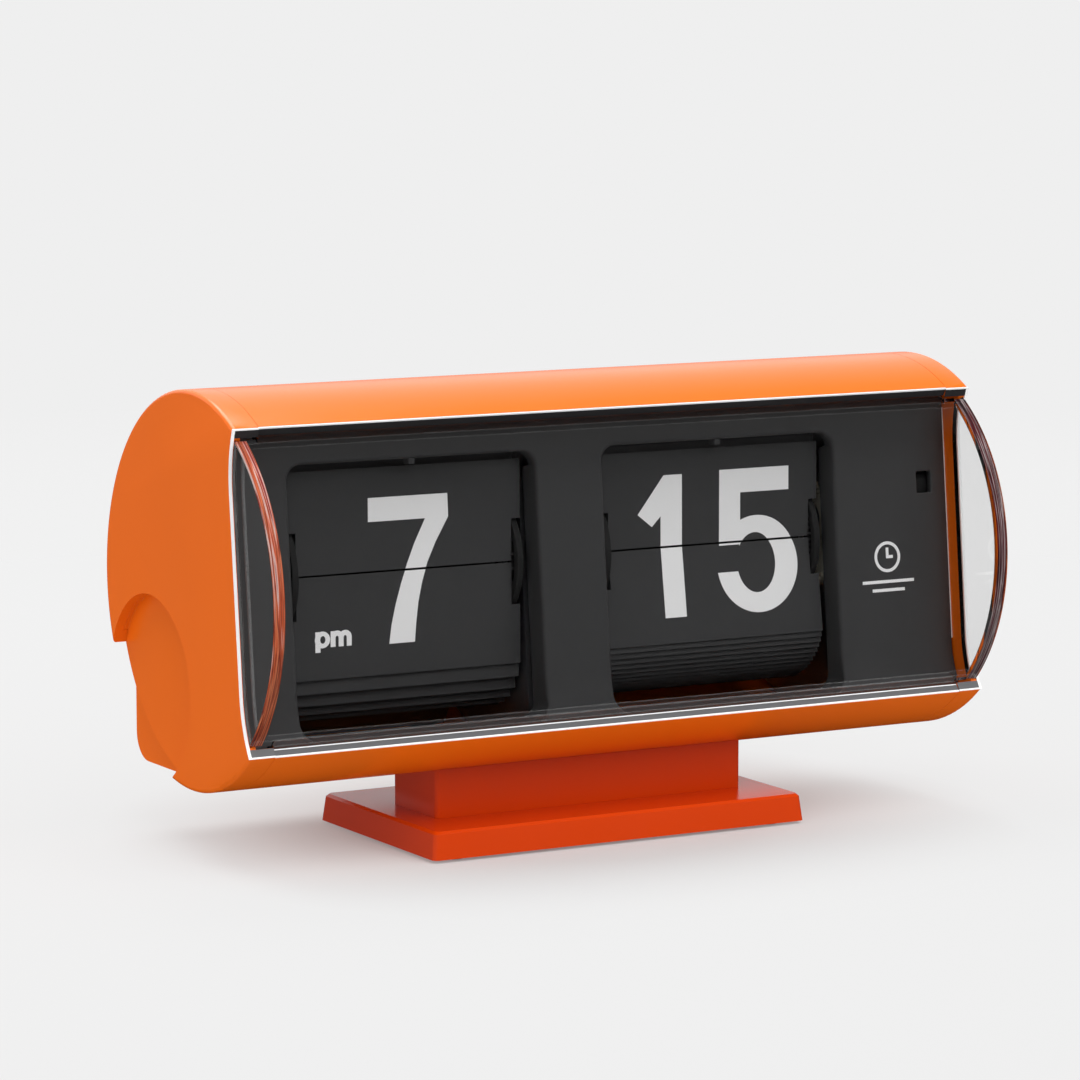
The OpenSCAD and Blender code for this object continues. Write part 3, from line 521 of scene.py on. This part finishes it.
# Outlines of the printed shapes, in millimetres along X and above the drum's axis.
SEVEN = [[(-63.9, 21.7), (-41.7, 21.7), (-41.5, 15.9), (-45.0, 10.0), (-47.4, 5.0), (-49.0, 0.0), (-50.1, -5.0),
          (-50.7, -10.0), (-51.1, -14.75), (-58.25, -14.75), (-57.6, -10.0), (-56.4, -5.0), (-54.9, 0.0),
          (-53.1, 5.0), (-51.0, 10.0), (-48.0, 15.8), (-63.9, 15.8)]]
ONE = [[(13.2, 12.8), (20.9, 22.5), (26.35, 22.5), (26.35, -13.95), (20.0, -13.95), (20.0, 12.1), (17.4, 9.5)]]
BOWL, BOWL_R = (48.7, -1.85), (12.2, 12.55)
COUNTER, COUNTER_R = (48.3, -1.47), (5.8, 7.77)
FIVE = [[(37.6, 22.9), (58.6, 22.9), (58.6, 16.8), (43.9, 16.8)]
        + arc(BOWL, BOWL_R, 113.2, -172.4, 44) + arc(COUNTER, COUNTER_R, 195, 505, 36)
        + [(43.6, 3.4), (37.5, 3.4)]]
SIX = [arc((48.9, 4.3), (12.2, 18.5), 38, 270, 40) + arc((48.9, -3.0), (12.0, 11.2), -90, 112, 30)
       + arc((49.4, 5.5), (6.4, 11.6), 166, 38, 20),
       arc((48.9, -3.4), (5.9, 6.1), 0, 356, 32)]
EIGHT = [arc((-52.7, 12.4), (10.4, 9.7), 0, 355, 44), arc((-52.7, -4.4), (11.6, 10.3), 0, 355, 48)]
EIGHT_HOLES = [arc((-52.7, 13.0), (4.3, 4.2), 0, 350, 30), arc((-52.7, -4.6), (5.2, 5.0), 0, 350, 32)]


def box_outline(x0, x1, z0, z1):
    return [(x0, z0), (x1, z0), (x1, z1), (x0, z1)]


PM = [box_outline(-78.7, -77.3, -15.5, -10.4), arc((-76.75, -12.4), (2.1, 2.08), 0, 350, 30),
      box_outline(-74.5, -73.15, -14.35, -10.45),
      [(-74.5, -14.35)] + arc((-72.72, -12.05), (1.78, 1.7), 180, 0, 16) + [(-70.94, -14.35)],
      [(-72.28, -14.35)] + arc((-70.49, -12.05), (1.79, 1.7), 180, 0, 16) + [(-68.7, -14.35)]]
PM_HOLES = [arc((-76.65, -12.4), (0.72, 0.95), 0, 345, 24),
            [(-73.15, -14.5)] + arc((-72.72, -12.2), (0.43, 0.55), 180, 0, 10) + [(-72.29, -14.5)],
            [(-70.93, -14.5)] + arc((-70.49, -12.2), (0.44, 0.55), 180, 0, 10) + [(-70.05, -14.5)]]


def print_half(name, drum, shapes, holes, side):
    """Prints the part of a numeral that lies on one leaf: 'up', 'next', 'low' or 'back'."""
    tail = drum["tail"] - 0.05
    top_cut, low_cut = drum["up"][1] - tail, drum["low"][1] + tail

    def wanted(c):
        on_side = c.y > top_cut if side in ("up", "next") else c.y < low_cut
        return on_side and any(inside(c, s) for s in shapes) and not any(inside(c, h) for h in holes)

    cut = top_cut if side in ("up", "next") else low_cut
    highlight_line = [(drum["x"] - LEAF_REACH, cut), (drum["x"] + LEAF_REACH, cut)]
    found, faces = fill(shapes + holes, wanted, [highlight_line])
    low, high = LEAF_HALF_T - 0.01, LEAF_HALF_T + PRINT_T

    def at(p, height):
        if side == "up":
            return on_leaf(p.x, p.y - drum["up"][1], drum["up"], drum["up_dir"], height)
        if side == "next":
            return on_leaf(p.x, p.y - drum["up"][1], drum["next"], drum["next_dir"], height)
        if side == "low":
            return on_leaf(p.x, drum["low"][1] - p.y, drum["low"], drum["low_dir"], -height)
        return on_leaf(p.x, drum["low"][1] - p.y, drum["up"], drum["up_dir"], -height)

    body = drum["flap"] if side in ("up", "back") else "case"
    thicken(name, found, faces, at, low, high, body, MATERIALS["print_light"], "print_light")


PRINTS = (("hour_seven_upper", HOUR, SEVEN, [], "up"), ("hour_seven_lower", HOUR, SEVEN, [], "low"),
          ("hour_pm", HOUR, PM, PM_HOLES, "low"),
          ("hour_eight_upper", HOUR, EIGHT, EIGHT_HOLES, "next"),
          ("hour_eight_lower", HOUR, EIGHT, EIGHT_HOLES, "back"), ("hour_pm_next", HOUR, PM, PM_HOLES, "back"),
          ("minute_one_upper", MINUTE, ONE, [], "up"), ("minute_one_lower", MINUTE, ONE, [], "low"),
          ("minute_five_upper", MINUTE, FIVE, [], "up"), ("minute_five_lower", MINUTE, FIVE, [], "low"),
          ("minute_next_one_upper", MINUTE, ONE, [], "next"),
          ("minute_next_one_lower", MINUTE, ONE, [], "back"),
          ("minute_six_upper", MINUTE, SIX[:1], SIX[1:], "next"),
          ("minute_six_lower", MINUTE, SIX[:1], SIX[1:], "back"))
for given in PRINTS:
    print_half(*given)


# ---- Dial: one moulded sheet with rounded windows, a scoop below and a brow above ----

DIAL_FRONT = 20.0
DIAL_HALF_W = 103.6
SCOOP = (-26.5, -38.2, 22.4)      # heights where the scoop starts and ends, and its radius
BROW = (34.0, 38.8, 8.4)
WINDOW_BACK, WINDOW_TOP_BACK = 13.0, 16.4
NUMBER_WINDOW = (69.0, 66.3, 4.0)
WINDOW_MID = -3.65
# Middle, width, height, corner radius and fillet of each window.
WINDOWS = [(HOUR["x"], WINDOW_MID, *NUMBER_WINDOW, 1.0), (MINUTE["x"], WINDOW_MID, *NUMBER_WINDOW, 1.0),
           (97.0, 15.1, 4.4, 5.6, 0.5, 0.4)]
DIAL_T = 0.9


def dial_depth(v):
    """Depth of the dial's front at a height on it."""
    if v < SCOOP[0]:
        return DIAL_FRONT + SCOOP[2] - math.sqrt(SCOOP[2] ** 2 - (SCOOP[0] - v) ** 2)
    if v > BROW[0]:
        return DIAL_FRONT + BROW[2] - math.sqrt(BROW[2] ** 2 - (v - BROW[0]) ** 2)
    return DIAL_FRONT


def window_outline(window, offset):
    """A window's rounded outline, moved outwards by an offset."""
    u, v, w, h, r, _ = window
    a, b, r = w / 2 + offset, h / 2 + offset, r + offset
    outline = []
    for sx, sy, start in ((1, 1, 0), (-1, 1, 90), (-1, -1, 180), (1, -1, 270)):
        outline += arc((u + sx * (a - r), v + sy * (b - r)), (r, r), start, start + 90, 10)
    return outline


def window_distance(point, window):
    """How far outside a window's outline a point is, negative inside it."""
    u, v, w, h, r, _ = window
    a = abs(point.x - u) - (w / 2 - r)
    b = abs(point.y - v) - (h / 2 - r)
    return math.hypot(max(a, 0), max(b, 0)) + min(max(a, b), 0) - r


def make_dial():
    """Flat pattern of the dial, bent to its depth, with fillets and walls at the windows."""
    rings = []
    for window in WINDOWS:
        r = window[5]
        for k in range(7):
            turn = math.radians(15 * k)
            rings.append(window_outline(window, r * (1 - math.cos(turn))))
        rings.append(window_outline(window, r + 0.35))
    border = box_outline(-DIAL_HALF_W, DIAL_HALF_W, SCOOP[1], BROW[1])
    rows = [SCOOP[0] + (SCOOP[1] - SCOOP[0]) * i / 16 for i in range(16)]
    rows += [BROW[0] + (BROW[1] - BROW[0]) * i / 8 for i in range(8)]
    lines = [[(-DIAL_HALF_W, v), (DIAL_HALF_W, v)] for v in rows]
    found, faces = fill(rings + [border], lambda c: all(window_distance(c, w) > -1e-3 for w in WINDOWS), lines)
    shape = bmesh.new()
    verts, home = {}, {}
    for i in sorted({i for face in faces for i in face}):
        p = found[i]
        depth = dial_depth(p.y)
        for w in WINDOWS:
            gap = max(0.0, window_distance(p, w))
            if gap < w[5]:
                depth -= w[5] - math.sqrt(w[5] ** 2 - (w[5] - gap) ** 2)
            if gap < 1e-3:
                home[i] = w
        verts[i] = shape.verts.new(on_dial(p.x, p.y, depth))
    flat = {v: i for i, v in verts.items()}
    for face in faces:
        shape.faces.new([verts[i] for i in face])
    rims = [e for e in shape.edges if len(e.link_faces) == 1 and all(flat[v] in home for v in e.verts)]
    moved = bmesh.ops.extrude_edge_only(shape, edges=rims)
    starts = {tuple(round(c, 8) for c in v.co): flat[v] for v in flat}
    for v in (g for g in moved["geom"] if isinstance(g, bmesh.types.BMVert)):
        i = starts[tuple(round(c, 8) for c in v.co)]
        p, w = found[i], home[i]
        if w[5] < 1:
            back = DIAL_FRONT - 1.8
        else:
            back = WINDOW_TOP_BACK if p.y > WINDOW_MID + w[3] / 2 - w[4] else WINDOW_BACK
        v.co = on_dial(p.x, p.y, back)
    bmesh.ops.recalc_face_normals(shape, faces=shape.faces)
    middle = max(shape.faces, key=lambda f: f.calc_area())
    if middle.normal.y > 0:
        bmesh.ops.reverse_faces(shape, faces=shape.faces)
    mesh = mesh_of("dial_sheet", shape)
    smooth(mesh, 40)
    piece = place("dial_sheet", mesh, "case", MATERIALS["dial_plastic"], "dial_plastic", ("dial",))
    skin = piece.modifiers.new("wall", "SOLIDIFY")
    skin.thickness = DIAL_T * MM
    skin.offset = -1
    even = piece.modifiers.new("even_light", "WEIGHTED_NORMAL")
    even.keep_sharp = True


make_dial()


# ---- Cover: a bent clear sheet with welded end walls, painted highlights and shade along its edges, painted reflections over its end walls and a dark gasket under its lips ----

CAP_FRONT, LIP_CURVE_R, LIP_STRAIGHT = 25.9, 34.0, 24.5
LIP_ANGLE = math.radians(53.7)
CASE_IN_R = CASE_R - 2.5
CASE_END = END_X - 7.1
COVER_R, COVER_BACK, COVER_T = 48.5, 2.9, 2.0
COVER_END, COVER_END_T = END_X - 0.9, 3.2
COVER_TUCK = 38.6
EDGE_GAP = 0.1
BAND = 0.02, 0.3      # heights of a band's faces off what it lies on


def cap_edge(v):
    """Depth of the end caps' front edge at height v."""
    rise = max(0.0, abs(v) - LIP_STRAIGHT)
    return CAP_FRONT + LIP_CURVE_R - math.sqrt(LIP_CURVE_R ** 2 - rise ** 2)


def cap_reach(radius):
    """Height at which the caps' edge meets a radius about the drum's axis."""
    v = 30.0
    while math.hypot(cap_edge(v), v) < radius:
        v += 0.01
    return v


def cover_point(radius, v):
    """Depth and height of a point on a bent surface of the cover."""
    return (math.sqrt(radius ** 2 - v ** 2) - COVER_BACK, v)


def cover_reach(radius):
    """Height at which a bent surface of the cover meets the caps' edge."""
    v = 30.0
    while cover_point(radius, v)[0] > cap_edge(v) + EDGE_GAP:
        v += 0.01
    return v


def make_cover():
    """The clear cover: bent sheet, end walls down to the caps' edge, and tongues tucked under the lips."""
    steps = 56
    reach = cover_reach(COVER_R)
    top = math.asin(reach / COVER_R)
    rows = [COVER_R * math.sin(-top + 2 * top * i / steps) for i in range(steps + 1)]
    ends = [-COVER_END, -COVER_END + COVER_END_T, -CASE_END + 0.1, CASE_END - 0.1, COVER_END - COVER_END_T, COVER_END]
    shape = bmesh.new()
    inner_reach = cover_reach(COVER_R - COVER_T)
    inner_rows = [v * inner_reach / reach for v in rows]
    outer = [[shape.verts.new(on_dial(x, v, cover_point(COVER_R, v)[0])) for x in ends] for v in rows]
    inner = [[shape.verts.new(on_dial(x, v, cover_point(COVER_R - COVER_T, v)[0])) for x in ends[1:5]]
             for v in inner_rows]
    for low, high in zip(outer, outer[1:]):
        for i in range(5):
            shape.faces.new([low[i], low[i + 1], high[i + 1], high[i]])
    for low, high in zip(inner, inner[1:]):
        for i in range(3):
            shape.faces.new([low[i], high[i], high[i + 1], low[i + 1]])
    for side, out_i, in_i in ((-1, 0, 0), (1, 5, 3)):
        x_out, x_in = side * COVER_END, side * (COVER_END - COVER_END_T)
        back_out, back_in = [outer[0][out_i]], [inner[0][in_i]]
        for v in inner_rows[1:-1]:
            depth = cap_edge(v) + EDGE_GAP
            back_out.append(shape.verts.new(on_dial(x_out, v, depth)))
            back_in.append(shape.verts.new(on_dial(x_in, v, depth)))
        back_out.append(outer[-1][out_i])
        back_in.append(inner[-1][in_i])
        for i in range(steps):
            for a, b in ((back_out, [row[out_i] for row in outer]), (back_in, [row[in_i] for row in inner])):
                ring = [a[i], a[i + 1], b[i + 1], b[i]]
                shape.faces.new(list(dict.fromkeys(ring)))
            shape.faces.new([back_out[i], back_in[i], back_in[i + 1], back_out[i + 1]])
    for sign, row, in_row in ((-1, outer[0], inner[0]), (1, outer[-1], inner[-1])):
        v = sign * COVER_TUCK
        far_out = [shape.verts.new(on_dial(x, v, cover_point(COVER_R, v)[0])) for x in ends[2:4]]
        far_in = [shape.verts.new(on_dial(x, v, cover_point(COVER_R - COVER_T, v)[0])) for x in ends[2:4]]
        shape.faces.new([row[2], row[3], far_out[1], far_out[0]])
        shape.faces.new([in_row[1], in_row[2], far_in[1], far_in[0]])
        shape.faces.new([far_out[0], far_out[1], far_in[1], far_in[0]])
        shape.faces.new([row[2], far_out[0], far_in[0], in_row[1]])
        shape.faces.new([row[3], far_out[1], far_in[1], in_row[2]])
        for a, b in ((1, 0), (4, 3)):
            edge = [row[a], row[a + 1]] if a == 1 else [row[a], row[a - 1]]
            near = [in_row[b], in_row[b + 1]] if a == 1 else [in_row[b], in_row[b - 1]]
            shape.faces.new([edge[0], edge[1], near[1], near[0]])
    bmesh.ops.recalc_face_normals(shape, faces=shape.faces)
    mesh = mesh_of("cover", shape)
    smooth(mesh)
    piece = place("cover", mesh, "case", MATERIALS["lens_clear"], "lens_clear", ("lens",))
    round_edges(piece, 0.35, 50)


def strip(name, path, normals, low, high, x0, x1, material):
    """Closed strip along X over a path of (depth, height) points, between two heights off the path."""
    shape = bmesh.new()
    rings = []
    for (d, v), (nd, nv) in zip(path, normals):
        ring = [(x0, low), (x1, low), (x1, high), (x0, high)]
        rings.append([shape.verts.new(on_dial(x, v + nv * h, d + nd * h)) for x, h in ring])
    for a, b in zip(rings, rings[1:]):
        for i in range(4):
            shape.faces.new([a[i], a[(i + 1) % 4], b[(i + 1) % 4], b[i]])
    shape.faces.new(rings[0][::-1])
    shape.faces.new(rings[-1])
    bmesh.ops.recalc_face_normals(shape, faces=shape.faces)
    mesh = mesh_of(name, shape)
    smooth(mesh)
    return place(name, mesh, "case", material)


def cap_path(v0, v1, steps=48):
    """Points along the end caps' front edge between two heights, and its normals there."""
    heights = [v0 + (v1 - v0) * i / steps for i in range(steps + 1)]
    normals = []
    for v in heights:
        rise = max(0.0, abs(v) - LIP_STRAIGHT)
        run_out = math.sqrt(LIP_CURVE_R ** 2 - rise ** 2)
        normals.append((run_out / LIP_CURVE_R, -math.copysign(rise, v) / LIP_CURVE_R))
    return [(cap_edge(v), v) for v in heights], normals


SIDES = (-1, "left"), (1, "right")


def make_cover_edges():
    """Bands of painted highlight along the cover's edges on the caps and the case lips, and what shows between them:
    bands of painted shade and the dark gasket.
    """
    reach = cap_reach(CASE_R - 0.1)
    # A band of painted highlight along each cap's front edge.
    for side, word in SIDES:
        x0, x1 = sorted((side * (COVER_END + 0.1), side * (END_X - 0.05)))
        strip(f"cover_{word}_edge", *cap_path(-reach, reach), *BAND, x0, x1, EDGE_HIGHLIGHT_PAINT)
    # White bands of painted highlight on both lips, and a grey band of painted shade on the lower one.
    # radii about the drum's axis between which each band lies
    bands = {"low": ((47.1, 47.4, EDGE_HIGHLIGHT_PAINT, "step"), (47.4, 48.95, EDGE_SHADE_PAINT, "flange"),
                     (48.95, 49.4, EDGE_HIGHLIGHT_PAINT, "edge")),
             "high": ((47.1, 48.95, GASKET, "gasket"), (48.95, 49.4, EDGE_HIGHLIGHT_PAINT, "edge"))}
    for sign, end in ((-1, "low"), (1, "high")):
        d, v = math.cos(LIP_ANGLE), sign * math.sin(LIP_ANGLE)
        for r0, r1, material, word in bands[end]:
            path = [(r0 * d, r0 * v), (r1 * d, r1 * v)]
            strip(f"cover_{end}_{word}", path, [(abs(v), -sign * d)] * 2, *BAND, -CASE_END, CASE_END, material)
    inner, outer = cap_reach(CASE_IN_R + 0.1), cap_reach(CASE_R - 0.5)
    for side, word in SIDES:
        x0, x1 = sorted((side * CASE_END, side * (COVER_END + 0.1)))
        # Where the lips meet the caps: a grey corner of painted shade below, the gasket above, and lines of painted
        # highlight out to the caps' outer edge.
        for sign, end, material in ((-1, "low", EDGE_SHADE_PAINT), (1, "high", GASKET)):
            strip(f"cover_{word}_{end}_corner", *cap_path(sign * inner, sign * outer, 8), *BAND, x0, x1, material)
            strip(f"cover_{word}_{end}_line", *cap_path(sign * outer, sign * reach, 4), *BAND, x0, x1,
                  EDGE_HIGHLIGHT_PAINT)


def make_seam_reflections():
    """Thin bands just under the cover's bent skin, over its welded end walls, that carry painted reflections of the
    end walls.
    """
    radius = COVER_R - 0.35
    top = math.asin((cover_reach(COVER_R) - 0.6) / radius)
    turns = [-top + 2 * top * i / 56 for i in range(57)]
    path = [(radius * math.cos(t) - COVER_BACK, radius * math.sin(t)) for t in turns]
    normals = [(math.cos(t), math.sin(t)) for t in turns]
    for (side, word), material in zip(SIDES, (WARM_SEAM_REFLECTIONS, DARK_SEAM_REFLECTIONS)):
        x0, x1 = sorted((side * (COVER_END - 0.35), side * (COVER_END - COVER_END_T + 0.1)))
        strip(f"cover_{word}_seam_reflections", path, normals, -0.2, 0.0, x0, x1, material)


make_cover()
make_cover_edges()
make_seam_reflections()
# A white band of painted highlight along the dial's right edge.
strip("dial_right_edge_highlight", [(DIAL_FRONT - 0.6, -26.0), (DIAL_FRONT - 0.6, BROW[0])], [(1, 0)] * 2, 0.0, 0.6,
      DIAL_HALF_W + 0.02, DIAL_HALF_W + 0.32, EDGE_HIGHLIGHT_PAINT)
